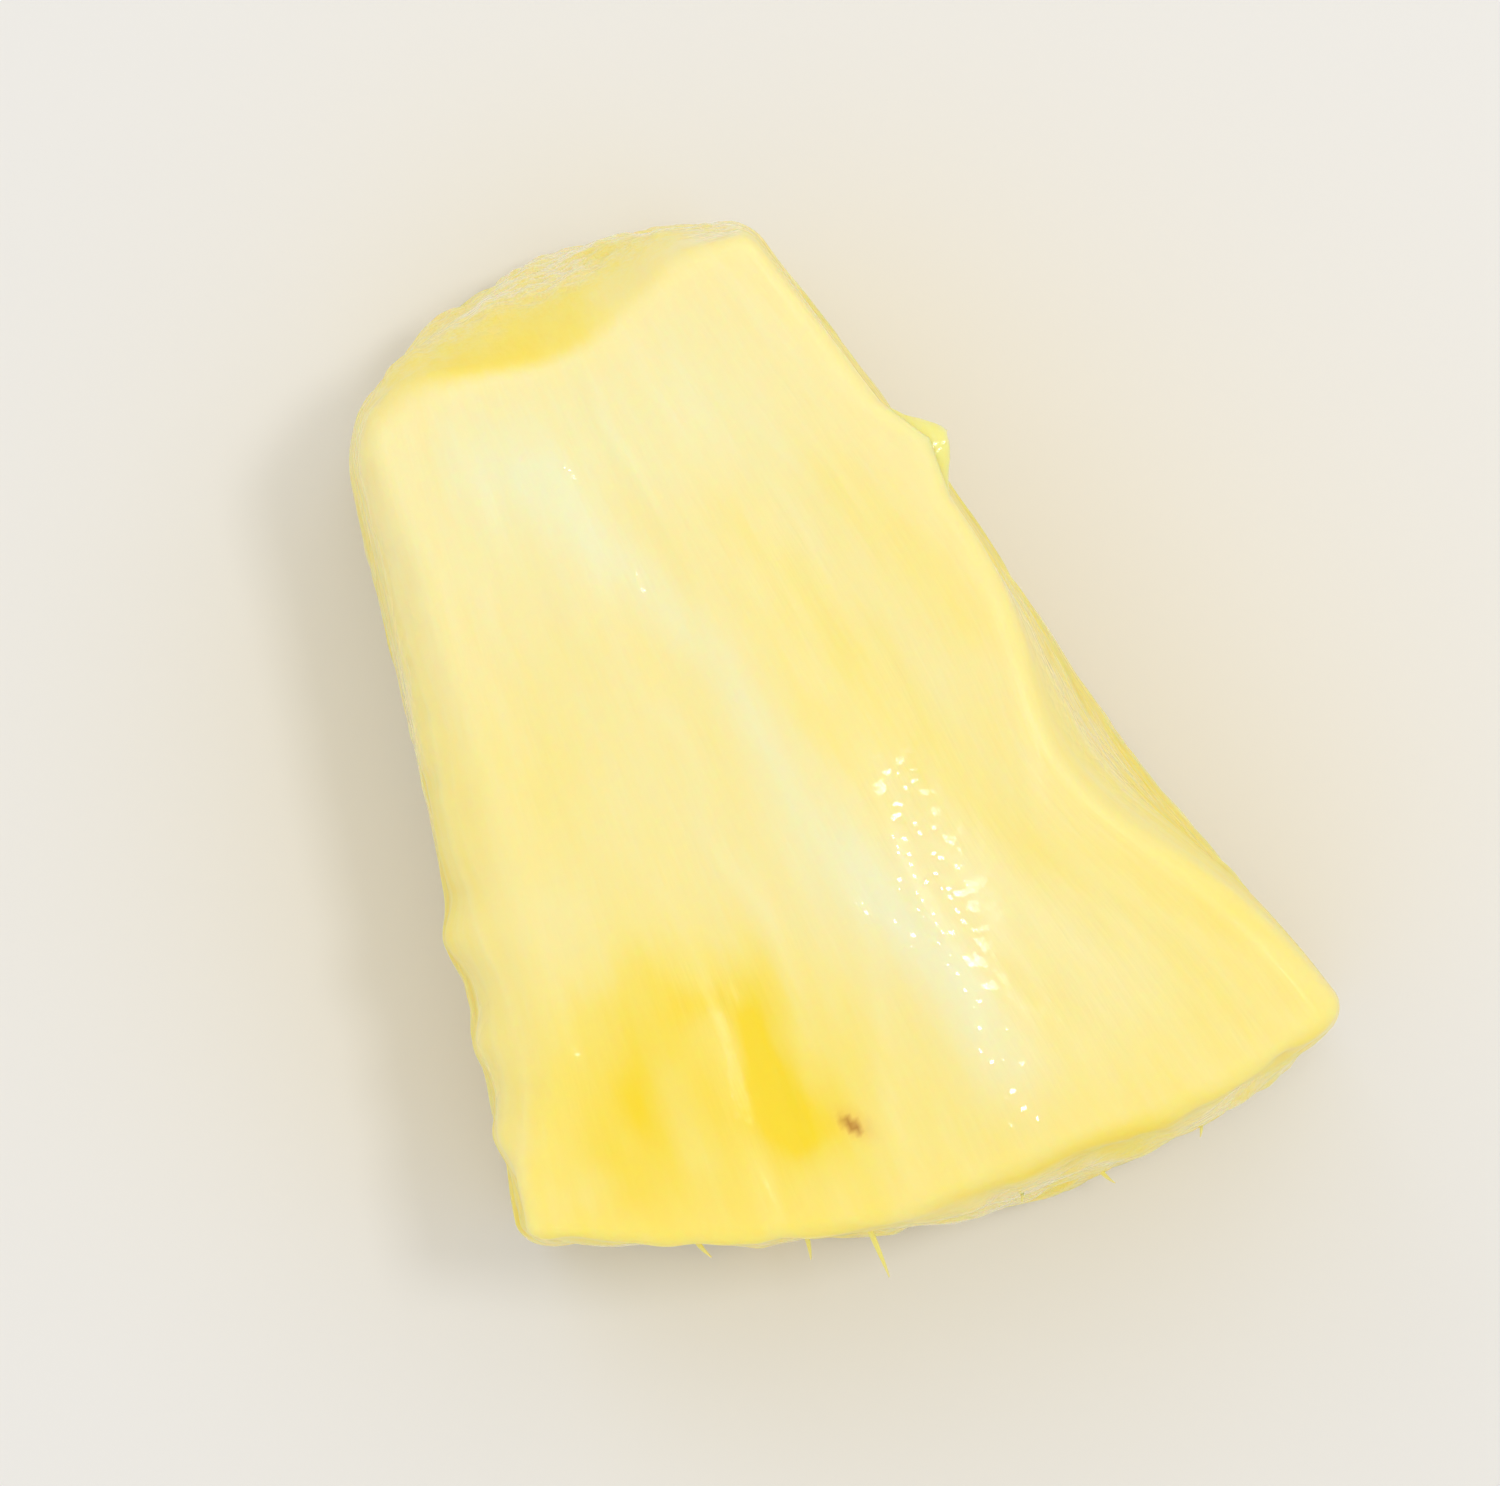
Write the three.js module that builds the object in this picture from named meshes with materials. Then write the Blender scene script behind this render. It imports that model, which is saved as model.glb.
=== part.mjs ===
// A chunk of fresh pineapple: one fan-shaped wedge of flesh, cut from a thick round slice of the
// peeled fruit. Millimetres, +Z up. The chunk lies on the slice's flat underside. +Y runs along the
// flesh from the bowed peel end to the paler core end, +X is across it, and the origin is under the
// middle of the chunk's box.

import * as THREE from "three";
import { mergeVertices } from "three/addons/utils/BufferGeometryUtils.js";

// Driving dimensions: the slice and the four corners of its underside, seen from above.
const THICKNESS = 21;
const CORE_LEFT = { x: -9.9, y: 19.3 };
const CORE_RIGHT = { x: 9.1, y: 20 };
const PEEL_LEFT = { x: -17, y: -14.2 };
const PEEL_RIGHT = { x: 17.1, y: -20.1 };
const CORE_BOW = 3.4; // how far the middle of each end stands out from its corners
const PEEL_BOW = 4.1;
const PEEL_SKEW = 0.28; // the share by which the peel end's bow is fuller on its right half
const KEEN_EDGE = 0.7; // radius of the knife's edges, softened by juice and handling
const WORN_EDGE = 3.2; // and along the middle of the left side, which is worn rounder

// How far each wall leans in between the underside and the top.
const CORE_LEAN = 5.6; // most of all in the middle, and little at the corners
const LEFT_LEAN = 0.8;
const RIGHT_LEAN = 0.5;
const PEEL_LEAN = 1.7; // on the right half of the peel end alone
const RIGHT_SCOOP = 2.9; // where the knife turned below the right edge of the top

// Relief, measured out from the wall or the top.
const FIBRE_RELIEF = 0.2; // low ridges that run from core to peel
const RIDGE_HEIGHT = 0.34; // the long pale ridge on the top
const HOLLOW_DEPTH = 0.15; // two fruitlet hollows beside it
const EYE_DEPTH = 2.0; // what peeling left of two eyes, in the peel end
const EYE_RADIUS = 2.6;
const END_RELIEF = 0.12; // the rough ends of the fibres there
const FLAKE_OUT = 1.6; // a torn flake on the right edge of the top
const FLAKE = { end: 6, tip: 8.6, root: 11 }; // along y: its foot, its tip and where it starts
const TEAR_OUT = 0.75; // the largest of the small tears on the left edge
const UNDER_DEPTH = 0.35; // shallow dips in the underside
const REST_RADIUS = 7; // the underside stays flat this far out from its middle

// The grid that carries the form: counts of steps across, along and up the chunk.
const STEPS = { x: 28, y: 40, z: 20 };
const EDGE_STEPS = 4; // of them in the edge's round, at each end

// The block before it is bent into a fan: half its width, length and height.
const HALF = { x: 14, y: 20, z: THICKNESS / 2 };

const GOLDEN_ANGLE = Math.PI * (3 - Math.sqrt(5));
const { clamp, lerp, smoothstep } = THREE.MathUtils;

// A smooth bump of height 1 at middle, down to about a third at one width from it.
function bump(at, middle, width) {
  return Math.exp(-(((at - middle) / width) ** 2));
}

// Uneven waves of about one length, between -1 and 1 almost everywhere: seven plane waves whose
// directions turn by the golden angle. They are drawn out along y, as the fibres are.
function waves(x, y, z, length, start) {
  const count = 7;
  const drawnOut = 5;
  let sum = 0;
  for (let k = 0; k < count; k++) {
    const turn = start + k * GOLDEN_ANGLE;
    const tilt = Math.cos(2 * turn);
    const along = x * Math.cos(turn) + z * Math.sin(turn) + (y * tilt) / drawnOut;
    sum += Math.sin(((2 * Math.PI) / length) * along * (0.8 + (0.4 * k) / count) + turn * turn);
  }
  return sum / Math.sqrt(2 * count);
}

// The place in millimetres of a grid line on the block. The last lines at each end crowd towards the
// edge, where the form turns, and the others are evenly spaced.
function gridLine(share, steps, half) {
  const line = Math.round(((share + 1) / 2) * steps);
  const fromEnd = Math.min(line, steps - line);
  const flat = half - WORN_EDGE;
  if (fromEnd >= EDGE_STEPS) {
    return flat * ((2 * (line - EDGE_STEPS)) / (steps - 2 * EDGE_STEPS) - 1);
  }
  const crowding = 1.8;
  return Math.sign(share) * (half - WORN_EDGE * (fromEnd / EDGE_STEPS) ** crowding);
}

// The edge's radius at a point: worn along the left side, half as much at its core corner, and keen
// everywhere else.
function edgeRadius(point) {
  const toLeft = 1 - smoothstep(point.x, -HALF.x, -4);
  const worn = 1 - 0.5 * smoothstep(point.y, 11, 18) - smoothstep(-point.y, 11, 18);
  return lerp(KEEN_EDGE, WORN_EDGE, toLeft * worn);
}

// The block's skin with rounded edges: the point, and the direction straight out of it.
function roundedBlock(point) {
  const radius = edgeRadius(point);
  const inner = new THREE.Vector3(
    clamp(point.x, radius - HALF.x, HALF.x - radius),
    clamp(point.y, radius - HALF.y, HALF.y - radius),
    clamp(point.z, radius - HALF.z, HALF.z - radius),
  );
  const out = point.clone().sub(inner).normalize();
  return { skin: inner.addScaledVector(out, radius), out };
}

// The top: a long ridge, and two hollows between it and the left edge at the peel end.
function topRelief(x, y) {
  const ridge = RIDGE_HEIGHT * bump(x, 2.4 - 0.06 * y, 2.3) * bump(y, -7, 11);
  const near = bump(x, -4.6, 2.1) * bump(y, -13.5, 4.6);
  const far = bump(x, -9.9, 1.9) * bump(y, -12.5, 4.6);
  return ridge - HOLLOW_DEPTH * (near + far);
}

// The underside: dips that only go in, and none near the middle, where it stands.
function underRelief(x, y) {
  const dips = Math.max(0, waves(x, y, 0, 9, 4) - 0.1);
  return -UNDER_DEPTH * dips * smoothstep(Math.hypot(x, y), REST_RADIUS, REST_RADIUS + 4);
}

// The peel end: two shallow round pits on a slant, and the rough ends of the fibres.
function peelRelief(x, z) {
  const high = bump(Math.hypot(x + 6.8, z - 3.6), 0, EYE_RADIUS);
  const low = bump(Math.hypot(x - 6.2, z + 3.4), 0, EYE_RADIUS);
  return -EYE_DEPTH * (high + low) + END_RELIEF * waves(x, 0, z, 3.4, 2);
}

// How far a thin flake reaches out of the top's right edge: it rises slowly from its root to its tip,
// and is torn off short at its foot.
function flakeReach(x, y, z) {
  const rises = clamp((FLAKE.root - y) / (FLAKE.root - FLAKE.tip), 0, 1);
  const tornOff = clamp((y - FLAKE.end) / (FLAKE.tip - FLAKE.end), 0, 1);
  const atEdge = smoothstep(x, HALF.x - 1.6, HALF.x);
  return FLAKE_OUT * rises * tornOff * atEdge * bump(z, HALF.z, 1);
}

// The left wall: a row of small tears under the top edge.
function tearRelief(y, z) {
  const largest = bump(y, -5.4, 1.3);
  const others = 0.5 * bump(y, -10.6, 1.2) + 0.6 * bump(y, -15, 1.3);
  return TEAR_OUT * (largest + others) * bump(z, HALF.z - 3, 2.6);
}

// All the relief at a point of the block's skin. Each face's own relief fades out round its edges.
function relief(skin, out) {
  const { x, y, z } = skin;
  const fibres = FIBRE_RELIEF * waves(x, y, z, 6.5, 1);
  const peel = out.y < 0 ? peelRelief(x, z) * out.y ** 2 : 0;
  const torn = out.x < 0 ? tearRelief(y, z) * out.x ** 2 : 0;
  if (out.z < 0) {
    return underRelief(x, y) * out.z ** 2 + fibres * (1 - out.z ** 2) + peel + torn;
  }
  return topRelief(x, y) * out.z ** 2 + fibres * (1 - 0.8 * out.z ** 2) + peel + torn;
}

// Bends the block into the fan. The plan is the four corners with both ends bowed out. The walls
// then lean in, a little all the way up and much more just below the top.
function fan(point) {
  const height = (point.z + HALF.z) / THICKNESS;
  const turnedIn = 0.35 * height + 0.65 * height ** 5;
  const right = (point.x / HALF.x + 1) / 2;
  const core = (point.y / HALF.y + 1) / 2;
  const left = 1 - right;
  const peel = 1 - core;
  const onLeft = {
    x: lerp(PEEL_LEFT.x, CORE_LEFT.x, core),
    y: lerp(PEEL_LEFT.y, CORE_LEFT.y, core),
  };
  const onRight = {
    x: lerp(PEEL_RIGHT.x, CORE_RIGHT.x, core),
    y: lerp(PEEL_RIGHT.y, CORE_RIGHT.y, core),
  };
  const across = 4 * left * right;
  const fuller = 1 + PEEL_SKEW * (right - left);
  const bowed = across * (CORE_BOW * core ** 2 - PEEL_BOW * peel ** 2 * fuller);

  const scoop = RIGHT_SCOOP * bump(core, 0.34, 0.15) * right ** 6;
  const leftLean = LEFT_LEAN * left ** 2 * (1 - 0.8 * peel ** 4);
  const rightLean = RIGHT_LEAN * right ** 2 + scoop;
  const coreLean = CORE_LEAN * core ** 3 * (0.1 + 0.9 * bump(right, 0.52, 0.36));
  const peelLean = PEEL_LEAN * peel ** 3 * bump(right, 0.66, 0.24);
  const flake = flakeReach(point.x, point.y, point.z);
  return new THREE.Vector3(
    lerp(onLeft.x, onRight.x, right) + turnedIn * (leftLean - rightLean) + flake,
    lerp(onLeft.y, onRight.y, right) + bowed + turnedIn * (peelLean - coreLean),
    point.z + HALF.z,
  );
}

function chunkGeometry() {
  const box = new THREE.BoxGeometry(2, 2, 2, STEPS.x, STEPS.y, STEPS.z);
  box.deleteAttribute("normal");
  box.deleteAttribute("uv");
  const skin = mergeVertices(box);
  const place = skin.getAttribute("position");
  for (let i = 0; i < place.count; i++) {
    const onBlock = new THREE.Vector3(
      gridLine(place.getX(i), STEPS.x, HALF.x),
      gridLine(place.getY(i), STEPS.y, HALF.y),
      gridLine(place.getZ(i), STEPS.z, HALF.z),
    );
    const { skin: rounded, out } = roundedBlock(onBlock);
    rounded.addScaledVector(out, relief(rounded, out));
    const bent = fan(rounded);
    place.setXYZ(i, bent.x, bent.y, bent.z);
  }
  skin.computeBoundingBox();
  const middle = skin.boundingBox.getCenter(new THREE.Vector3());
  skin.translate(-middle.x, -middle.y, -skin.boundingBox.min.z);
  skin.computeVertexNormals();
  return skin;
}

const flesh = new THREE.MeshStandardMaterial({ color: "#f8e68f", roughness: 0.32, metalness: 0 });

const chunk = new THREE.Mesh(chunkGeometry(), flesh);
chunk.name = "chunk";

const pineapple = new THREE.Group();
pineapple.add(chunk);

export default pineapple;
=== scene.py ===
# %% [markdown]
# # A chunk of fresh pineapple
# One fan-shaped wedge of wet, slightly translucent flesh, cut from a thick round slice of the peeled fruit.
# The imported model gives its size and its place, and this lesson gives it its fine surface and its finish.
# All sizes in the cells are millimetres, as on the model's drawing, and they become metres in the mesh.

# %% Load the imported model
import math

import bpy
import numpy as np
from mathutils import Matrix, Vector


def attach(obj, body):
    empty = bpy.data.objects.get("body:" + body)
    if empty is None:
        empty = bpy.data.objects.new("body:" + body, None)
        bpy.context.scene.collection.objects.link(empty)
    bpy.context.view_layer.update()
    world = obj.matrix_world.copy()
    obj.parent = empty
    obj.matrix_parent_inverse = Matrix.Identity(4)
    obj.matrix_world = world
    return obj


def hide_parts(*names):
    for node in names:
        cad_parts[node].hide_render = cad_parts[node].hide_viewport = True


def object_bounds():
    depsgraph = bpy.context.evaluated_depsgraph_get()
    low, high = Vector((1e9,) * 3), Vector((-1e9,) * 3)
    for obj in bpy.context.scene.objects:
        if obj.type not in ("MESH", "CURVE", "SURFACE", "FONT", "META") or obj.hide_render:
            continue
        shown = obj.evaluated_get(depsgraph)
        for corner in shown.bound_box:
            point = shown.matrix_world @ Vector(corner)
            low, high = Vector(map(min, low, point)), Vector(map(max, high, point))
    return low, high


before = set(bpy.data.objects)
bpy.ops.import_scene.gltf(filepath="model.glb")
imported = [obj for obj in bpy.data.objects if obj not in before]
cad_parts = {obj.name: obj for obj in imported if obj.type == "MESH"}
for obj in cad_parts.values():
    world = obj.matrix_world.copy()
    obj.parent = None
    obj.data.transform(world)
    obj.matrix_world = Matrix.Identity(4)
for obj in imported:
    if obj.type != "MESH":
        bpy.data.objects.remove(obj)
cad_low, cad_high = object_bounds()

MM = 0.001
print("the model's box in mm:", [round(side / MM, 2) for side in cad_high - cad_low])

# %% [markdown]
# ## The camera
# The photograph looks straight down on the chunk's cut top, with the pale core end up and to the left.
# A camera could be turned by hand, but it is clearer to say where it looks and which way is up in the
# picture, and to work out its turn from those two. Its height above the chunk sets the perspective, and
# the lens then frames the chunk.

# %% Put the camera over the chunk
CAMERA_HEIGHT = 420.0
CAMERA_TILT = math.radians(2.0)  # off straight down, towards the bottom of the picture
PICTURE_TURN = math.radians(25.4)  # the flesh runs this far off upright in the picture
PICTURE_WIDTH = 62.0  # what the frame takes in across, at the chunk's middle height
SENSOR = 36.0

picture_up = Vector((math.sin(PICTURE_TURN), math.cos(PICTURE_TURN), 0))
back = Vector((0, 0, 1)) * math.cos(CAMERA_TILT) - picture_up * math.sin(CAMERA_TILT)
right = picture_up.cross(back).normalized()
up = back.cross(right)
target = (cad_low + cad_high) / 2

camera = bpy.data.objects.new("camera", bpy.data.cameras.new("camera"))
bpy.context.scene.collection.objects.link(camera)
turn = Matrix((right, up, back)).transposed()
camera.matrix_world = Matrix.Translation(target + back * CAMERA_HEIGHT * MM) @ turn.to_4x4()
camera.data.sensor_width = SENSOR
camera.data.lens = SENSOR * CAMERA_HEIGHT / PICTURE_WIDTH
camera.data.clip_start = 0.01
bpy.context.scene.camera = camera
print("lens in mm:", round(camera.data.lens, 1))

# %% [markdown]
# ## The floor and the light
# Wet flesh shows its form by soft shade and by small glints. A bright even sky alone would light it well
# but leave it without a glint, and a small lamp alone would give hard shadows. So the sky and two soft boxes
# do the lighting, one on the right and a weaker one behind the core end, which faces away from the first.
# One small lamp high up on the right is there for the glints.

# %% Make the floor
def plain_material(name, colour, roughness):
    """A material with one colour, for the floor and as the start of the others."""
    material = bpy.data.materials.new(name)
    material.use_nodes = True
    shader = material.node_tree.nodes["Principled BSDF"]
    shader.inputs["Base Color"].default_value = (*colour, 1)
    shader.inputs["Roughness"].default_value = roughness
    return material


FLOOR_HALF = 3000.0
corners = np.array([(-1, -1, 0), (1, -1, 0), (1, 1, 0), (-1, 1, 0)]) * FLOOR_HALF * MM
floor_mesh = bpy.data.meshes.new("floor")
floor_mesh.from_pydata(corners.tolist(), [], [(0, 1, 2, 3)])
floor_mesh.materials.append(plain_material("pale_floor", (0.80, 0.79, 0.77), 0.6))
floor = bpy.data.objects.new("floor", floor_mesh)
bpy.context.scene.collection.objects.link(floor)


# %% Hang the lamps and light the sky
def area_lamp(name, place, size, power):
    """A square lamp that faces the chunk, with its place and its side in mm and its power in watts."""
    data = bpy.data.lights.new(name, "AREA")
    data.size = size * MM
    data.energy = power
    lamp = bpy.data.objects.new(name, data)
    bpy.context.scene.collection.objects.link(lamp)
    lamp.location = Vector(place) * MM
    lamp.rotation_euler = (lamp.location - target).to_track_quat("Z", "Y").to_euler()
    return lamp


soft_box = area_lamp("soft_box", (225, 110, 500), 420, 0.26)
core_fill = area_lamp("core_fill", (-100, 380, 380), 300, 0.16)
glint_lamp = area_lamp("glint_lamp", (150, -30, 600), 75, 0.5)

SKY_COLOUR, SKY_STRENGTH = (1.0, 0.99, 0.97, 1), 0.832
world = bpy.data.worlds.new("pale_sky")
world.use_nodes = True
world.node_tree.nodes["Background"].inputs["Color"].default_value = SKY_COLOUR
world.node_tree.nodes["Background"].inputs["Strength"].default_value = SKY_STRENGTH
bpy.context.scene.world = world
bpy.context.scene.view_settings.view_transform = "Standard"
print("lamps:", [lamp.name for lamp in (soft_box, core_fill, glint_lamp)])

# %% [markdown]
# ## A straight block
# The real chunk has six cut faces. It could be a cube that is sculpted by hand, but a few knife cuts are
# easier to state as sizes. So the skin starts as a straight block with x across it, y along the fibres
# from the peel end to the core end, and z up. Each face is a grid of two of these, and the lines crowd
# together at the edges, because that is where the form turns.

# %% Lay out the block's grid
THICKNESS = 21.0  # the slice, flat side to flat side
HALF = np.array((14.0, 20.0, THICKNESS / 2))
STEPS = (130, 184, 80)
WORN_EDGE = 3.2
EDGE_STEPS = 14


def grid_lines(steps, half):
    """Even lines on the flat part, and at each end lines that crowd towards the edge by a power of 1.5."""
    flat = half - WORN_EDGE
    middle = np.linspace(-flat, flat, steps - 2 * EDGE_STEPS + 1)
    outer = half - WORN_EDGE * np.linspace(1, 0, EDGE_STEPS + 1)[1:] ** 1.5
    return np.concatenate((-outer[::-1], middle, outer))


def block_face(axis, side):
    """One face of the block: a point for each pair of grid lines, and its quads facing out."""
    first, second = (axis + 1) % 3, (axis + 2) % 3
    s, t = np.meshgrid(
        grid_lines(STEPS[first], HALF[first]), grid_lines(STEPS[second], HALF[second]), indexing="ij"
    )
    points = np.empty((*s.shape, 3))
    points[..., axis], points[..., first], points[..., second] = side * HALF[axis], s, t
    index = np.arange(s.size).reshape(s.shape)
    quads = np.stack((index[:-1, :-1], index[1:, :-1], index[1:, 1:], index[:-1, 1:]), -1).reshape(-1, 4)
    return points.reshape(-1, 3), quads if side > 0 else quads[:, ::-1]


def block_skin():
    """All six faces, with the points that two or three of them share merged into one."""
    points, quads, count = [], [], 0
    for axis in range(3):
        for side in (-1, 1):
            face_points, face_quads = block_face(axis, side)
            points.append(face_points)
            quads.append(face_quads + count)
            count += len(face_points)
    points = np.round(np.concatenate(points), 6)
    merged, index = np.unique(points, axis=0, return_inverse=True)
    return merged, index.reshape(-1)[np.concatenate(quads)]


block_points, chunk_quads = block_skin()
print("the block has", len(block_points), "points and", 2 * len(chunk_quads), "triangles")

# %% [markdown]
# ## Soft edges
# A sharp knife leaves a fine edge, and handling and juice soften it. The left edge of this chunk is worn
# rounder than the right one. A bevel would give one width everywhere, so each point is instead measured
# from a smaller block inside: the skin lies one edge radius from it, and the radius changes across.

# %% Round the edges
KEEN_EDGE = 0.7


def mix(a, b, share):
    """a where share is 0 and b where it is 1, in a straight line between."""
    return a + (b - a) * share


def smooth_step(value, start, end):
    """0 up to start and 1 from end, with a soft S between: 3t squared less 2t cubed."""
    t = np.clip((value - start) / (end - start), 0, 1)
    return t * t * (3 - 2 * t)


def round_edges(points):
    """Each point at its edge radius from the nearest point of the inner block, and the way out there."""
    x, y = points[:, :1], points[:, 1:2]
    worn = 1 - 0.5 * smooth_step(y, 11, 18) - smooth_step(-y, 11, 18)
    radius = mix(KEEN_EDGE, WORN_EDGE, worn * (1 - smooth_step(x, -HALF[0], -4)))
    inner = np.clip(points, radius - HALF, HALF - radius)
    out = points - inner
    out /= np.linalg.norm(out, axis=1, keepdims=True)
    return inner + out * radius, out


skin, out = round_edges(block_points)
print("edges are", KEEN_EDGE, "to", WORN_EDGE, "mm round")

# %% [markdown]
# ## The flesh's own relief
# Pineapple is a bundle of fruitlets, each fed by fibres that run out from the core. Cut flat, the fibres
# stand a little proud of the juicier flesh between them. Sculpting each one would take days and noise alone
# would look like gravel, so the relief is a sum of a few plain shapes: bumps and long waves whose places
# and sizes are named, with y as the way that the fibres run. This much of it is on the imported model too.

# %% Bumps and waves
def bump(value, middle, width):
    """A smooth bump of height 1: e to the minus squared distance over width."""
    return np.exp(-(((value - middle) / width) ** 2))


def streak(u, v, places, width):
    """A bump along a path: 1 on it, and a third at one width off it, by the nearest of its straight legs."""
    nearest = np.full(np.shape(u), np.inf)
    for (u0, v0), (u1, v1) in zip(places, places[1:]):
        du, dv = u1 - u0, v1 - v0
        share = np.clip(((u - u0) * du + (v - v0) * dv) / (du**2 + dv**2), 0, 1)
        nearest = np.minimum(nearest, np.hypot(u - u0 - share * du, v - v0 - share * dv))
    return bump(nearest, 0, width)


def waves(x, y, z, length, start):
    """Seven plane waves, each turned by the golden angle from the last and drawn out five times along y."""
    count = 7
    drawn_out = 5
    total = 0
    for k in range(count):
        turned = start + k * math.pi * (3 - math.sqrt(5))
        along = x * math.cos(turned) + z * math.sin(turned) + y * math.cos(2 * turned) / drawn_out
        pace = 2 * math.pi / length * (0.8 + 0.4 * k / count)
        total = total + np.sin(pace * along + turned**2)
    return total / math.sqrt(2 * count)


# %% The relief of each face
FIBRE_RELIEF, RIDGE_HEIGHT, HOLLOW_DEPTH = 0.2, 0.34, 0.15
EYE_DEPTH, EYE_RADIUS, END_RELIEF = 2.0, 2.6, 0.12
EYES = [(-6.8, 3.6), (6.2, -3.4)]  # x and z of the two eyes in the peel end
TEAR_OUT = 0.75
UNDER_DEPTH, REST_RADIUS = 0.35, 7.0


def top_relief(x, y):
    """A long ridge, less two fruitlet hollows beside it."""
    ridge = RIDGE_HEIGHT * bump(x, 2.4 - 0.06 * y, 2.3) * bump(y, -7, 11)
    near = bump(x, -4.6, 2.1) * bump(y, -13.5, 4.6)
    far = bump(x, -9.9, 1.9) * bump(y, -12.5, 4.6)
    return ridge - HOLLOW_DEPTH * (near + far)


def under_relief(x, y):
    """Dips that only go in, and none near the middle, where the chunk stands."""
    dips = np.maximum(0, waves(x, y, 0, 9, 4) - 0.1)
    return -UNDER_DEPTH * dips * smooth_step(np.hypot(x, y), REST_RADIUS, REST_RADIUS + 4)


def peel_relief(x, z):
    """Two round pits on a slant, left by the eyes, and the rough ends of the fibres."""
    pits = sum(bump(np.hypot(x - eye_x, z - eye_z), 0, EYE_RADIUS) for eye_x, eye_z in EYES)
    return -EYE_DEPTH * pits + END_RELIEF * waves(x, 0, z, 3.4, 2)


def tear_relief(y, z):
    """Three small bumps in a row under the top's left edge."""
    others = 0.5 * bump(y, -10.6, 1.2) + 0.6 * bump(y, -15, 1.3)
    return TEAR_OUT * (bump(y, -5.4, 1.3) + others) * bump(z, HALF[2] - 3, 2.6)


def model_relief(skin, out):
    """All of it, each kind on its own face, fading out as the skin turns round an edge."""
    x, y, z = skin.T
    across, along, upward = out.T
    fibres = FIBRE_RELIEF * waves(x, y, z, 6.5, 1) * np.where(upward > 0, 1 - 0.8 * upward**2, 1)
    under = under_relief(x, y) * upward**2 + fibres * (1 - upward**2)
    top = top_relief(x, y) * upward**2
    peel = np.where(along < 0, peel_relief(x, z) * along**2, 0)
    torn = np.where(across < 0, tear_relief(y, z) * across**2, 0)
    return np.where(upward < 0, under, fibres + top) + peel + torn


print("relief in mm:", np.round([model_relief(skin, out).min(), model_relief(skin, out).max()], 2))

# %% [markdown]
# ## From the block to the fan
# The slice was cut along its radii, so the chunk widens from the core to the peel. Both ends are arcs of
# the round slice, and no knife cut is upright. A lattice could bend the block, but a formula says it in the
# cook's own terms: four corners in plan, a bow at each end, and a lean for each wall that grows with height.

# %% Bend the block
CORE_LEFT, CORE_RIGHT = np.array((-9.9, 19.3)), np.array((9.1, 20.0))
PEEL_LEFT, PEEL_RIGHT = np.array((-17.0, -14.2)), np.array((17.1, -20.1))
CORE_BOW, PEEL_BOW, PEEL_SKEW = 3.4, 4.1, 0.28
CORE_LEAN, LEFT_LEAN, RIGHT_LEAN, PEEL_LEAN = 5.6, 0.8, 0.5, 1.7
RIGHT_SCOOP = 2.9  # where the knife turned in below the top's right edge
FLAKE_OUT = 1.6  # how far a torn flap stands out, and where it ends, peaks and starts along y
FLAKE_END, FLAKE_TIP, FLAKE_ROOT = 6.0, 8.6, 11.0


def flake_outline(y):
    """How far the flap reaches out along y, as a share: a straight rise from its root and a short fall."""
    rises = np.clip((FLAKE_ROOT - y) / (FLAKE_ROOT - FLAKE_TIP), 0, 1)
    return rises * np.clip((y - FLAKE_END) / (FLAKE_TIP - FLAKE_END), 0, 1)


def flake_reach(x, y, z):
    """A flap on the top's right edge, as thick as the bump in z."""
    return flake_outline(y) * smooth_step(x, HALF[0] - 1.6, HALF[0]) * bump(z, HALF[2], 1.0)


def fan(skin, flake_out):
    """The plan is the four corners with both ends bowed out, and the walls lean in with height."""
    x, y, z = skin.T
    height = (z + HALF[2]) / THICKNESS
    turned_in = 0.35 * height + 0.65 * height**5
    right_share, core = (x / HALF[0] + 1) / 2, (y / HALF[1] + 1) / 2
    left_share, peel = 1 - right_share, 1 - core
    on_left = mix(PEEL_LEFT, CORE_LEFT, core[:, None])
    on_right = mix(PEEL_RIGHT, CORE_RIGHT, core[:, None])
    plan_x, plan_y = mix(on_left, on_right, right_share[:, None]).T
    fuller = 1 + PEEL_SKEW * (right_share - left_share)
    bowed = 4 * left_share * right_share * (CORE_BOW * core**2 - PEEL_BOW * peel**2 * fuller)
    left_lean = LEFT_LEAN * left_share**2 * (1 - 0.8 * peel**4)
    right_lean = RIGHT_LEAN * right_share**2 + RIGHT_SCOOP * bump(core, 0.34, 0.15) * right_share**6
    core_lean = CORE_LEAN * core**3 * (0.1 + 0.9 * bump(right_share, 0.52, 0.36))
    peel_lean = PEEL_LEAN * peel**3 * bump(right_share, 0.66, 0.24)
    return np.stack(
        (
            plan_x + turned_in * (left_lean - right_lean) + flake_out * flake_reach(x, y, z),
            plan_y + bowed + turned_in * (peel_lean - core_lean),
            z + HALF[2],
        ),
        -1,
    )


plain_points = fan(skin + out * model_relief(skin, out)[:, None], FLAKE_OUT)
shift = (plain_points.max(0) + plain_points.min(0)) / 2
shift[2] = 0
print("the model's own form in mm:", np.round(plain_points.max(0) - plain_points.min(0), 2))

# %% [markdown]
# ## The fine surface
# Up close, the walls show strands about two millimetres apart, the two ends show where each strand was cut
# through, and all of it is pebbled by the juice cells. A bump map can't change an outline, so what is larger
# than half a millimetre is in the mesh: grain, a lattice of random numbers with soft steps between them.

# %% Grain
GRAIN_CELLS = 48
grain_table = np.random.default_rng(7).uniform(-1, 1, (GRAIN_CELLS,) * 3)


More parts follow.
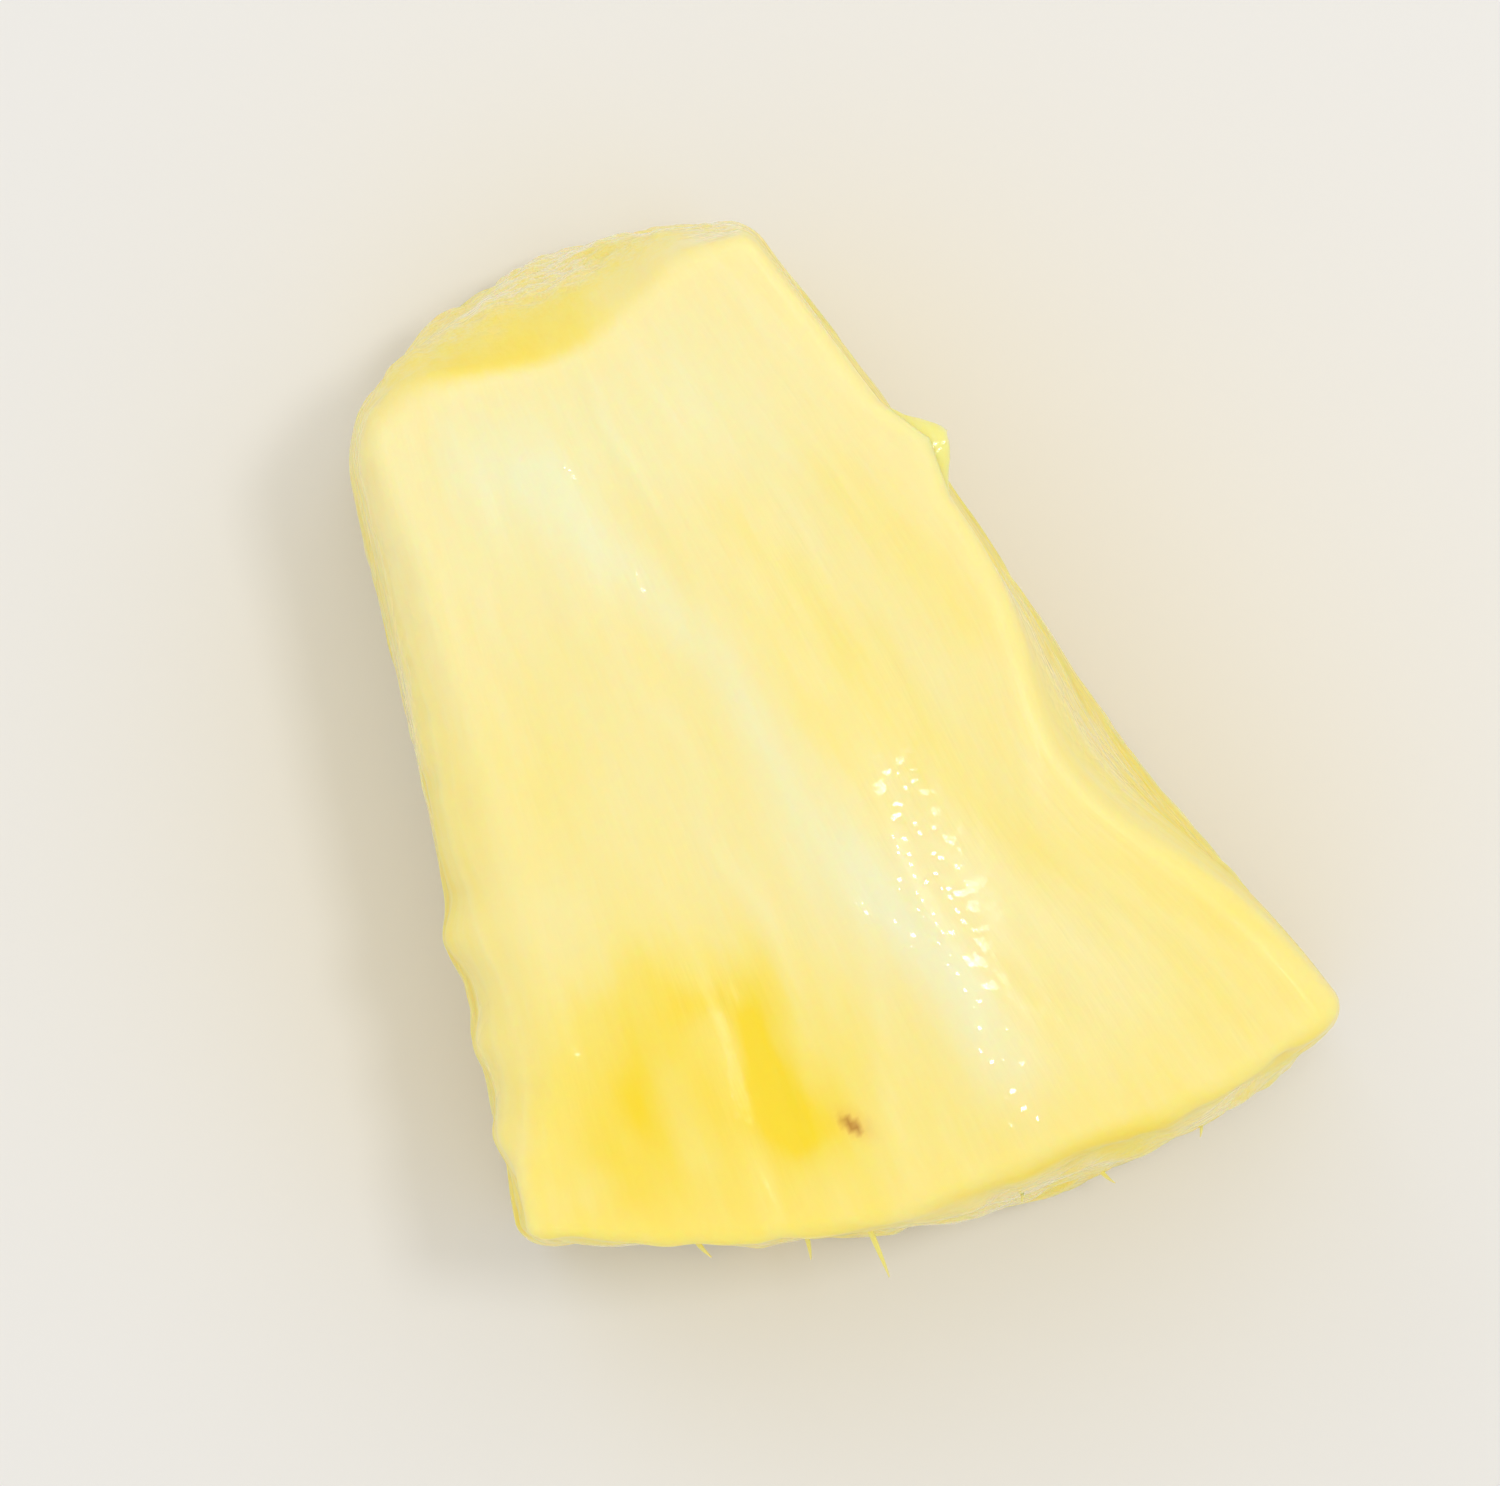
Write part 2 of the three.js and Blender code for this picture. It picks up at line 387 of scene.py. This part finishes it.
def grain(x, y, z, cell, shift=0.0):
    """Random values on a lattice: a point blends its cell's eight corners, and shift moves the lattice."""
    place = np.stack(np.broadcast_arrays(x, y, z), -1) / np.asarray(cell) + shift
    floor_of = np.floor(place)
    part = place - floor_of
    part = part * part * (3 - 2 * part)
    corner = floor_of.astype(int)
    total = 0
    for step in np.ndindex(2, 2, 2):
        share = np.prod(np.where(step, part, 1 - part), -1)
        i, j, k = np.moveaxis((corner + step) % GRAIN_CELLS, -1, 0)
        total = total + share * grain_table[i, j, k]
    return total


# %% Where juice stands
DROP_PLACES = [(-2.6, 14.0), (-1.7, 7.7), (-5.0, -10.1), (-11.4, -11.3), (-3.9, -14.2), (1.1, -8.1)]
WET_STREAKS = [  # strength, width and path of each, on the right slope of the top's ridge
    (1.5, 0.7, [(5.1, -4.2), (4.5, -7)]),
    (1.0, 0.7, [(1.1, -8), (2.5, -9)]),
    (1.6, 1.2, [(4.1, -7.5), (3.1, -10.5)]),
    (1.3, 0.7, [(3.3, -12.5), (2.9, -18.2)]),
]


def streaks(x, y, table):
    """The sum of all the streaks in a table of strengths, widths and paths."""
    return sum(strength * streak(x, y, path, width) for strength, width, path in table)


def drops(x, y):
    """Single small beads of juice on the top: flat oval bumps, longer along the fibres."""
    return sum(bump(x, drop_x, 0.32) * bump(y, drop_y, 0.55) for drop_x, drop_y in DROP_PLACES)


def wetness(skin, out):
    """1 where juice stands: in streaks and drops on the top, and in patches on the walls below its edge."""
    x, y, z = skin.T
    upward = out[:, 2]
    on_top = np.where(upward > 0.5, streaks(x, y, WET_STREAKS) + 0.8 * drops(x, y), 0)
    below_edge = smooth_step(-z, -HALF[2], 3 - HALF[2])
    patches = smooth_step(grain(x, y, z, (3, 6, 3), 12), 0.0, 0.5) * below_edge
    return np.clip(on_top + 0.8 * patches * (1 - upward**2), 0, 1)


wet_share = wetness(skin, out)
print("wet share of the points:", round(float((wet_share > 0.5).mean()), 2))

# %% Strands, cut ends and pebbles
STRANDS = [  # gap, share of the relief, width as a share of the gap, and place in the grain
    (2.1, 0.62, 0.13, 11),
    (0.95, 0.38, 0.18, 17),
]
STRAND_RELIEF, PEBBLE_RELIEF, ENDS_RELIEF = 0.42, 0.10, 0.08
JAGS_OUT, DROP_HEIGHT = 0.22, 0.045
CALM_FROM, CALM_TO = 4.0, 9.5  # the relief of the walls dies down between these heights
FLAKE_BASE = 0.55  # the share of the torn flap that is part of this mesh, with a thin piece beyond it
FLAKE_GROOVE = 0.12  # depth of the groove behind the flap


def strands(x, y, z):
    """Wavy lines along y in two sizes: narrow bumps a gap apart across x and z, of uneven height."""
    wander = 1.1 * grain(x, y, z, (9, 9, 5), 2) + 0.45 * grain(x, y, z, (3, 4, 3), 6)
    total = 0
    for gap, height, width, start in STRANDS:
        place = (z + 0.55 * x + wander + 0.2 * grain(x, y, z, (2, 3, 2), start + 1)) / gap
        uneven = np.clip(0.55 + 0.75 * grain(x, y, z, (3, 9, 2), start), 0, 1)
        total = total + height * uneven * bump(place - np.round(place), 0, width)
    return total


def fine_relief(skin, out):
    """Strands on the long faces, cut ends on the short ones, pebbles on all, and only dips underneath.

    All of it is calm just below the top, where the knife came in. The left and peel edges are jagged, and
    the top has its drops and a groove behind the flap.
    """
    x, y, z = skin.T
    across, along, upward = out.T
    rough = 1 - 0.85 * smooth_step(z, CALM_FROM, CALM_TO)
    lines = STRAND_RELIEF * strands(x, y, z) * (1 - along**2) * rough
    pebbles = PEBBLE_RELIEF * grain(x, y, z, (0.9, 2.0, 0.9), 9) * rough
    groove = FLAKE_GROOVE * bump(x, HALF[0] - 1.0, 0.4) * flake_outline(y)
    on_top = np.where(upward > 0, upward**2, 0) * (DROP_HEIGHT * drops(x, y) - groove)
    jagged = np.maximum(np.where(across < 0, across**2, 0), np.where(along < 0, 0.6 * along**2, 0))
    jags = JAGS_OUT * grain(x, y, z, (0.9, 1.1, 2.5), 14) * bump(z, HALF[2] - 1.5, 2.2) * jagged
    ends = 0.9 * grain(x, y, z, (1.2, 1.2, 1.2), 3) + 0.6 * grain(x, y, z, (0.55, 0.55, 0.55), 5)
    ends = ENDS_RELIEF * ends * along**2 * rough * np.where(along < 0, 1.0, 0.4)
    fine = lines + pebbles + on_top + jags + ends
    return np.where(upward < 0, fine * (1 - upward**2) - 0.6 * np.abs(fine) * upward**2, fine)


lift = model_relief(skin, out) + fine_relief(skin, out)
chunk_points = (fan(skin + out * lift[:, None], FLAKE_BASE * FLAKE_OUT) - shift) * MM
print("chunk in mm:", np.round((chunk_points.max(0) - chunk_points.min(0)) / MM, 2))


# %% Put the chunk into a mesh
def mesh_piece(name, points, faces, material):
    """A smooth mesh at the origin from arrays of faces, riding on the one body."""
    mesh = bpy.data.meshes.new(name)
    mesh.from_pydata(points.tolist(), [], [face for kind in faces for face in kind.tolist()])
    mesh.shade_smooth()
    mesh.materials.append(material)
    piece = bpy.data.objects.new(name, mesh)
    bpy.context.scene.collection.objects.link(piece)
    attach(piece, "root")
    return piece


FLESH_YELLOW = (0.93, 0.84, 0.42)
flesh = plain_material("wet_flesh", FLESH_YELLOW, 0.3)
chunk = mesh_piece("chunk_flesh", chunk_points, [chunk_quads], flesh)
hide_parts("chunk")
print("the chunk's mesh has", len(chunk.data.polygons), "quads")

# %% [markdown]
# ## Where the flesh is ripe
# The core is pale, and the flesh turns golden towards the peel, most of all inside each fruitlet. Painting
# an image would tie the colour to one unwrapping. The ripeness is instead one number at each point of the
# mesh, worked out from the point's place on the straight block, and the material turns that number into a
# colour. The streaks are bumps along a path, which is a row of places.

# %% Ripeness of the cut top
PALE_STREAK = [(-4, 14), (-1.5, 8), (0.5, 3.3), (1, -3.3), (2.5, -9), (3.5, -16)]
BROAD_PALE = [  # strength, width and path of each
    (1.0, 4.0, [(1, -6), (4.5, -15)]),
    (0.8, 4.5, [(-5, 15), (6, 15)]),
    (0.7, 2.4, [(-6.5, 15), (-3.5, 9)]),
    (0.9, 2.6, [(6.5, -9), (9, -14)]),
    (1.0, 0.9, [(-7.5, -11.6), (-7.9, -16.3)]),
    (1.0, 0.8, [(-11.4, -17.3), (-11.8, -18)]),
]
WARM_PATCHES = [
    (0.7, 1.6, [(9.8, 8), (11.5, 1)]),
    (0.5, 0.9, [(3.2, 0), (3.8, -5)]),
    (0.3, 2.2, [(-8.7, 3.7), (-10.1, -2.1)]),
    (0.7, 1.6, [(4.5, 9), (5.5, 4), (8.5, -9)]),
]
ARCH = [(-10.4, -16), (-9.7, -12.3), (-8.6, -9.5), (-4.2, -9.2), (-4.8, -13.8), (-4.3, -16.5)]
ARCH_LEG = [(-4.2, -11.5), (-4.8, -13.8), (-4.3, -16)]  # its leg next to the ridge, which is more golden


def top_ripeness(x, y):
    """The cut top: a pale streak from the core, a golden arch round one fruitlet and faint warm patches."""
    patchy = 1 + 0.7 * grain(x, y, 0, (1.8, 4, 1), 12)
    pale = 0.18 * streak(x, y, PALE_STREAK, 1.4) * patchy
    pale += 0.12 * (streaks(x, y, BROAD_PALE) + 0.6 * smooth_step(y, 5, 15))
    wavy_x, wavy_y = x + 1.1 * grain(x, y, 0, (2, 3, 1), 41), y + 2.0 * grain(x, y, 0, (2, 3, 1), 44)
    arch = 0.22 * streak(wavy_x, wavy_y, ARCH, 1.7) * smooth_step(-y, 5, 10)
    arch += 0.22 * streak(wavy_x, y, ARCH_LEG, 1.2)
    around = 0.25 * bump(x, -7.6, 5.0) * bump(y, -13, 6.0)
    rays = 0.07 * np.cos(26 * np.arctan2(x + 7.2, y + 24)) * bump(x, -7.2, 4.5) * bump(y, -13, 4.5)
    low = (0.13 + 0.09 * smooth_step(-x, 0, 6)) * smooth_step(-y, 5, 15)
    return 0.33 + around + arch + rays + low + 0.15 * streaks(x, y, WARM_PATCHES) - pale


# %% Ripeness of the other faces
FRUITLETS = EYES + [(5.4, 10.8), (-6.0, -10.6), (18.5, 3.8), (-19.5, -3.6)]


def peel_ripeness(x, z):
    """The peel end: golden in each fruitlet, with rays from its eye, and pale where two of them meet."""
    wavy_x, wavy_z = x + 0.9 * grain(x, 0, z, 2.6, 21), z + 0.9 * grain(x, 0, z, 2.6, 27)
    far = [np.hypot(wavy_x - mid_x, wavy_z - mid_z) for mid_x, mid_z in FRUITLETS]
    turned = [np.arctan2(wavy_z - mid_z, wavy_x - mid_x) for mid_x, mid_z in FRUITLETS]
    nearest, next_one = np.sort(far, axis=0)[:2]
    angle = np.take_along_axis(np.array(turned), np.argmin(far, axis=0)[None], 0)[0]
    rays = np.cos(13 * angle + 2 * grain(x, 0, z, 3.0, 31)) * bump(nearest, 3.2, 1.8)
    seam = bump(next_one - nearest, 0, 0.8) * (0.55 + 0.8 * grain(x, 0, z, 1.7, 35))
    uneven = 0.08 * grain(x, 0, z, 1.3, 38)
    return 0.60 + 0.28 * bump(nearest, 0, 3.4) + 0.10 * rays - 0.22 * seam + uneven


def under_ripeness(x, y):
    """The underside, cut through the same fruitlets lower down: pale at the core, golden at the peel."""
    lobes = streak(x, y, [(-3.5, -9), (-5.5, -15)], 1.6) + streak(x, y, [(6.8, -10), (8.5, -15)], 1.8)
    pale = streak(x, y, [(2, 14), (0, -12)], 2.2)
    return 0.32 + 0.28 * smooth_step(-y, -4, 16) + 0.3 * lobes - 0.14 * pale


def core_ripeness(x, y, z):
    """The core end: pale dots where fibres were cut through, and paler corners just below the top."""
    high = smooth_step(z, CALM_FROM, CALM_TO)
    dots = smooth_step(grain(x, y, z, 0.7, 23), 0.1, 0.5)
    corner = 0.34 * smooth_step(x, 0, 6) + 0.2 * smooth_step(-x, 6, 11)
    return 0.70 + 0.10 * grain(x, y, z, (3, 3, 3), 8) - 0.16 * (1 - high) * dots - high * corner


def wall_ripeness(x, y, z, on_right):
    """The long sides: golden in streaks along the fibres, most of all at the peel, and pale near the top."""
    peel_share = (1 - y / HALF[1]) / 2
    wall = np.where(on_right, 0.82, 0.68) + 0.16 * peel_share
    wall += 0.15 * grain(x, y, z, (4, 9, 2.6), 4) + 0.13 * grain(x, y, z, (0.8, 6, 0.6), 19)
    return mix(wall, 0.42, smooth_step(z, 5, 10.5))


# %% Ripeness all over
def ripeness(skin, out):
    """Each face's own ripeness, blended where the skin turns from one to the next, with strands paler."""
    x, y, z = skin.T
    across, along, upward = out.T
    golden = np.where(upward > 0, top_ripeness(x, y), under_ripeness(x, y)) * upward**2
    golden += np.where(along < 0, peel_ripeness(x, z), core_ripeness(x, y, z)) * along**2
    golden += wall_ripeness(x, y, z, across > 0) * across**2
    rough = 1 - 0.8 * smooth_step(z, CALM_FROM, CALM_TO)
    golden -= 0.55 * strands(x, y, z) * rough * (1 - 0.5 * upward**2) * (1 - along**2)
    golden += 0.05 * grain(x, y, z, (5, 8, 5), 10) + 0.025 * grain(x, y, z, (1.6, 9, 1.6), 1)
    return np.clip(golden, 0, 1)


def give(piece, name, values):
    """Keeps one number or one vector for each point under a name that a material can read."""
    kind, field = ("FLOAT_VECTOR", "vector") if values.ndim == 2 else ("FLOAT", "value")
    kept = piece.data.attributes.new(name, kind, "POINT")
    kept.data.foreach_set(field, values.astype(np.float32).ravel())


ripe_share = ripeness(skin, out)
give(chunk, "flesh_place", skin)
give(chunk, "ripeness", ripe_share)
print("ripeness from", np.round(ripe_share.min(), 2), "to", np.round(ripe_share.max(), 2))

# %% [markdown]
# ## Brown specks and wet places
# A seed or a bit of eye that the knife went through leaves a small dark speck. Juice gathers on the slope of
# the long ridge and in patches on the walls, and there the flesh is glossier. The cut top is the smoothest,
# and the walls are pebbled lower down. All three are numbers at the points too, so they stay on the flesh
# however it is turned.

# %% Specks and juice
def speck(u, v, middle, half_length, half_width, turned):
    """An oval spot, dark inside and soft at its rim, with its long way turned by an angle in degrees."""
    angle = math.radians(turned)
    du, dv = u - middle[0], v - middle[1]
    long_way = (du * math.cos(angle) + dv * math.sin(angle)) / half_length
    short_way = (dv * math.cos(angle) - du * math.sin(angle)) / half_width
    return smooth_step(-np.hypot(long_way, short_way), -1.35, -0.45)


FLECKS_IN_EYE = 7
fleck_numbers = np.random.default_rng(12)
flecks = [  # x, z, half length and turn of each
    (eye_x + across, eye_z + up, fleck_numbers.uniform(0.14, 0.38), fleck_numbers.uniform(0, 180))
    for eye_x, eye_z in EYES
    for across, up in fleck_numbers.normal(0, 0.62, (FLECKS_IN_EYE, 2))
]


def speck_marks(skin, out):
    """One seed mark with a faint rim on the top, and a loose cluster of small flecks in each eye."""
    x, y, z = skin.T
    along, upward = out[:, 1], out[:, 2]
    on_top = 0.62 * speck(x, y, (-2.7, -16.0), 0.50, 0.22, 118)
    on_top += 0.12 * speck(x, y, (-2.5, -16.0), 0.90, 0.50, 118)
    in_eyes = sum(0.75 * speck(x, z, fleck[:2], fleck[2], 0.15, fleck[3]) for fleck in flecks)
    in_eyes = in_eyes + 0.1 * sum(bump(np.hypot(x - eye_x, z - eye_z), 0, 0.9) for eye_x, eye_z in EYES)
    return np.clip(np.where(upward > 0.5, on_top, 0) + np.where(along < -0.5, in_eyes, 0), 0, 1)


SMOOTHEST = 0.15  # how pebbled the cut top is, against 1 on the lower walls
upper_share = np.maximum(out[:, 2], smooth_step(skin[:, 2], 2, 9))
give(chunk, "speck_mark", speck_marks(skin, out))
give(chunk, "wetness", wet_share)
give(chunk, "pebbled", mix(1, SMOOTHEST, upper_share**2))
print("flecks in the eyes:", len(flecks))

# %% [markdown]
# ## The torn flap
# Where the knife dragged, a thin flap of flesh hangs on to the top's right edge. Light shines through it and
# its rim is crisp, which the chunk's own mesh is too coarse for. A cut-out plane would have no thickness, so
# it is a closed skin: a flat oval, carried along the edge and drawn out by the flap's outline.

# %% Rings into a closed skin
def closed_skin(rings):
    """Quads between each ring and the next, and a fan of triangles to the middle of the first and last."""
    ring_count, around = rings.shape[:2]
    index = np.arange(ring_count * around).reshape(ring_count, around)
    beside = np.roll(index, -1, 1)
    quads = np.stack((index[:-1], beside[:-1], beside[1:], index[1:]), -1).reshape(-1, 4)
    first, last = ring_count * around, ring_count * around + 1
    start = np.stack((beside[0], index[0], np.full(around, first)), -1)
    end = np.stack((index[-1], beside[-1], np.full(around, last)), -1)
    points = np.concatenate((rings.reshape(-1, 3), [rings[0].mean(0), rings[-1].mean(0)]))
    return points, [quads, np.concatenate((start, end))]


def finish_like_flesh(piece, place, ripe, wet_share):
    """Gives a small piece the numbers that the flesh's material reads, the same at all its points."""
    give(piece, "flesh_place", place)
    for name, value in (("ripeness", ripe), ("speck_mark", 0.0), ("wetness", wet_share), ("pebbled", 0.3)):
        give(piece, name, np.full(len(place), value))


# %% Make the torn flap
FLAP_THICKNESS = 0.42
FLAP_ROOTED = 1.2  # how deep its inner edge sits in the chunk
FLAP_BELOW = 0.5  # its root is this far below the flat top
FLAP_CURL, FLAP_DROOP = 0.16, 0.2

along_edge = np.linspace(FLAKE_ROOT, FLAKE_END, 49)
around_oval = np.linspace(0, 2 * np.pi, 24, endpoint=False)
edge_block = np.stack(np.broadcast_arrays(HALF[0], along_edge, HALF[2] - FLAP_BELOW), -1)
edge_line = fan(edge_block, 0.0) - shift
outline = FLAKE_OUT * flake_outline(along_edge) + 0.1 * grain(along_edge, 0, 0, (0.5, 1, 1), 5)
share_out = (1 + np.cos(around_oval)) / 2  # 0 at the root of each oval and 1 at its rim
flap_x = edge_line[:, :1] - FLAP_ROOTED + (FLAP_ROOTED + np.maximum(outline, -0.2))[:, None] * share_out
curl = FLAP_CURL * np.sin(1.7 * along_edge)[:, None] * share_out**2 - FLAP_DROOP * share_out
flap_z = edge_line[:, 2:] + FLAP_THICKNESS / 2 * np.sin(around_oval) * (1 - 0.5 * share_out) + curl
flap_rings = np.stack(np.broadcast_arrays(flap_x, edge_line[:, 1:2], flap_z), -1)
flap_points, flap_faces = closed_skin(flap_rings)
flap = mesh_piece("torn_flap", flap_points * MM, flap_faces, flesh)
finish_like_flesh(flap, flap_points, 0.45, 0.25)
print("the flap reaches out", np.round(outline.max(), 2), "mm")

# %% [markdown]
# ## Stray fibres
# Peeling tears some fibres instead of cutting them, and their ends stick out below the top's edge at the
# peel end. Hair particles would not export, so each is a thin tube: a ring that shrinks along a curved path
# which starts inside the flesh, runs outwards and sags.

# %% Grow the fibres
FIBRE_ROOTS = [  # x along the peel end, z up it, length and sideways drift in mm
    (-3.5, 3.5, 2.1, -0.1),
    (-9.0, 6.0, 0.8, 0.3),
    (1.8, 6.4, 0.5, -0.3),
    (8.4, 2.0, 0.6, -0.4),
    (4.6, -6.5, 0.7, 0.4),
    (-5.5, -5.0, 1.0, -0.3),
]
FIBRE_RADIUS, FIBRE_TAPER = 0.13, 0.75
FIBRE_ROOTED = 0.5  # how deep a fibre starts in the flesh
FIBRE_SAG = 0.35  # for each mm of length


def fibre_rings(root_x, root_z, length, drift):
    """Rings of 10 points along the path: straight out, with drift and sag growing as the square."""
    root = fan(np.array([[root_x, -HALF[1] + FIBRE_ROOTED, root_z]]), 0.0)[0] - shift
    t = np.linspace(0, 1, 15)[:, None]
    angle = np.linspace(0, 2 * np.pi, 10, endpoint=False)
    radius = FIBRE_RADIUS * (1 - FIBRE_TAPER * t**2)
    path_y = root[1] - (length + FIBRE_ROOTED) * t
    path_x = root[0] + drift * t**2 + radius * np.cos(angle)
    path_z = root[2] - FIBRE_SAG * length * t**2 + radius * np.sin(angle)
    return np.stack(np.broadcast_arrays(path_x, path_y, path_z), -1)


fibres = [closed_skin(fibre_rings(*root)) for root in FIBRE_ROOTS]
fibre_starts = np.cumsum([0] + [len(points) for points, faces in fibres])
fibre_points = np.concatenate([points for points, faces in fibres])
fibre_faces = [kind + start for (points, faces), start in zip(fibres, fibre_starts) for kind in faces]
stray = mesh_piece("stray_fibres", fibre_points * MM, fibre_faces, flesh)
finish_like_flesh(stray, fibre_points, 0.5, 0.0)
print(len(FIBRE_ROOTS), "fibres, down to y", np.round(fibre_points[:, 1].min(), 1), "mm")

# %% [markdown]
# ## The flesh's finish
# Wet flesh lets light in, turns it yellow and lets it out again nearby, and its film of juice mirrors the
# lamps on top of that. One shader does both: light under the skin for the glow, and a clear coat for the
# juice. A colour ramp takes ripeness to colour, noise makes it uneven below what the mesh can hold, and a
# bump of small round cells breaks the mirror images into glints.

# %% Helpers for nodes
def add_node(material, kind, inputs, **settings):
    """A new node with its settings, and each input either linked or set."""
    node = material.node_tree.nodes.new(kind)
    for name, value in settings.items():
        setattr(node, name, value)
    for name, value in inputs.items():
        if isinstance(value, bpy.types.NodeSocket):
            material.node_tree.links.new(value, node.inputs[name])
        else:
            node.inputs[name].default_value = value
    return node


def number_at_point(material, name):
    """The number that the mesh keeps at each point under this name."""
    return add_node(material, "ShaderNodeAttribute", {}, attribute_name=name).outputs["Fac"]


def noise(material, place, scale, detail):
    """Noise on the flesh's own millimetres, with cells per millimetre for each direction."""
    stretched = add_node(material, "ShaderNodeMapping", {"Vector": place, "Scale": scale})
    found = add_node(
        material, "ShaderNodeTexNoise", {"Vector": stretched.outputs[0], "Scale": 1.0, "Detail": detail}
    )
    return found.outputs["Fac"]


def spread(material, value, start, end, low, high):
    """Takes start to low and end to high, in a straight line."""
    ends = {"Value": value, "From Min": start, "From Max": end, "To Min": low, "To Max": high}
    return add_node(material, "ShaderNodeMapRange", ends).outputs[0]


def sum_of(material, first, second, operation="ADD"):
    """Two numbers added, or put together by another operation."""
    return add_node(material, "ShaderNodeMath", {0: first, 1: second}, operation=operation).outputs[0]


def ramp(material, value, stops):
    """A colour for each value, by stops of (value, colour)."""
    node = add_node(material, "ShaderNodeValToRGB", {"Fac": value})
    elements = node.color_ramp.elements
    elements[0].position, elements[1].position = stops[0][0], stops[-1][0]
    elements[0].color, elements[1].color = (*stops[0][1], 1), (*stops[-1][1], 1)
    for position, colour in stops[1:-1]:
        elements.new(position).color = (*colour, 1)
    return node.outputs[0]


# %% Colour the flesh
RIPE_COLOURS = [
    (0.0, (0.885, 0.86, 0.545)),
    (0.3, (0.93, 0.81, 0.38)),
    (0.6, (0.99, 0.775, 0.19)),
    (1.0, (1.0, 0.71, 0.03)),
]
SPECK_BROWN = (0.40, 0.11, 0.01, 1)
BLOTCHES_PER_MM, CELLS_PER_MM = (1.1, 0.22, 1.1), (3.4, 0.4, 3.4)
BLOTCH_SHADE, CELL_SHADE = 0.03, 0.12  # how far each shifts the ripeness either way

shader = flesh.node_tree.nodes["Principled BSDF"]
place = add_node(flesh, "ShaderNodeAttribute", {}, attribute_name="flesh_place").outputs["Vector"]
uneven = noise(flesh, place, BLOTCHES_PER_MM, 2.0)
pebbled = number_at_point(flesh, "pebbled")
cells = noise(flesh, place, CELLS_PER_MM, 2.0)
fine_lines = sum_of(flesh, spread(flesh, cells, 0.3, 0.7, -CELL_SHADE, CELL_SHADE), pebbled, "MULTIPLY")
mottled = sum_of(flesh, spread(flesh, uneven, 0.3, 0.7, -BLOTCH_SHADE, BLOTCH_SHADE), fine_lines)
tone = sum_of(flesh, number_at_point(flesh, "ripeness"), mottled)
ripe_colour = ramp(flesh, tone, RIPE_COLOURS)
FACTOR, COLOUR_A, COLOUR_B, COLOUR_OUT = 0, 6, 7, 2  # where a colour mix has them among its sockets
specks = {FACTOR: number_at_point(flesh, "speck_mark"), COLOUR_A: ripe_colour, COLOUR_B: SPECK_BROWN}
speckled = add_node(flesh, "ShaderNodeMix", specks, data_type="RGBA").outputs[COLOUR_OUT]
flesh.node_tree.links.new(speckled, shader.inputs["Base Color"])

# %% Pebble the skin and the juice
SKIN_DEPTH, JUICE_DEPTH = 0.10, 0.10

pebbles = {"Height": cells, "Strength": pebbled, "Distance": SKIN_DEPTH * MM}
skin_bump = add_node(flesh, "ShaderNodeBump", pebbles)
flesh.node_tree.links.new(skin_bump.outputs[0], shader.inputs["Normal"])

BEADS_PER_MM = (1.3, 1.4, 1.3)
bead_place = add_node(flesh, "ShaderNodeMapping", {"Vector": place, "Scale": BEADS_PER_MM})
beads = add_node(flesh, "ShaderNodeTexVoronoi", {"Vector": bead_place.outputs[0], "Scale": 1.0})
domes = sum_of(flesh, beads.outputs["Distance"], 2.0, "POWER")
wet = number_at_point(flesh, "wetness")
beaded = sum_of(flesh, spread(flesh, pebbled, SMOOTHEST, 1, 0.15, 0.4), wet)
juice = {"Height": domes, "Strength": beaded, "Distance": -JUICE_DEPTH * MM}
juice_bump = add_node(flesh, "ShaderNodeBump", juice)
flesh.node_tree.links.new(juice_bump.outputs[0], shader.inputs["Coat Normal"])

# %% Give it its gloss
TOP_FILM, WALL_FILM, JUICE_FILM = 0.04, 0.4, 0.9  # coat on the dry top, on the walls and where juice stands
flesh.node_tree.links.new(spread(flesh, uneven, 0.35, 0.65, 0.30, 0.46), shader.inputs["Roughness"])
dry_film = spread(flesh, pebbled, SMOOTHEST, 1, TOP_FILM, WALL_FILM)
film = sum_of(flesh, dry_film, spread(flesh, wet, 0, 1, 0, JUICE_FILM))
flesh.node_tree.links.new(film, shader.inputs["Coat Weight"])

# %% Let light under the skin
shader.inputs["IOR"].default_value = 1.37
shader.inputs["Specular IOR Level"].default_value = 0.3
shader.inputs["Subsurface Weight"].default_value = 0.85
shader.inputs["Subsurface Scale"].default_value = 1.3 * MM  # red light goes this far, green and blue less
shader.inputs["Subsurface Radius"].default_value = (1.0, 0.65, 0.22)
shader.inputs["Coat Roughness"].default_value = 0.05
shader.inputs["Coat IOR"].default_value = 1.45
print("flesh has", len(flesh.node_tree.nodes), "nodes")
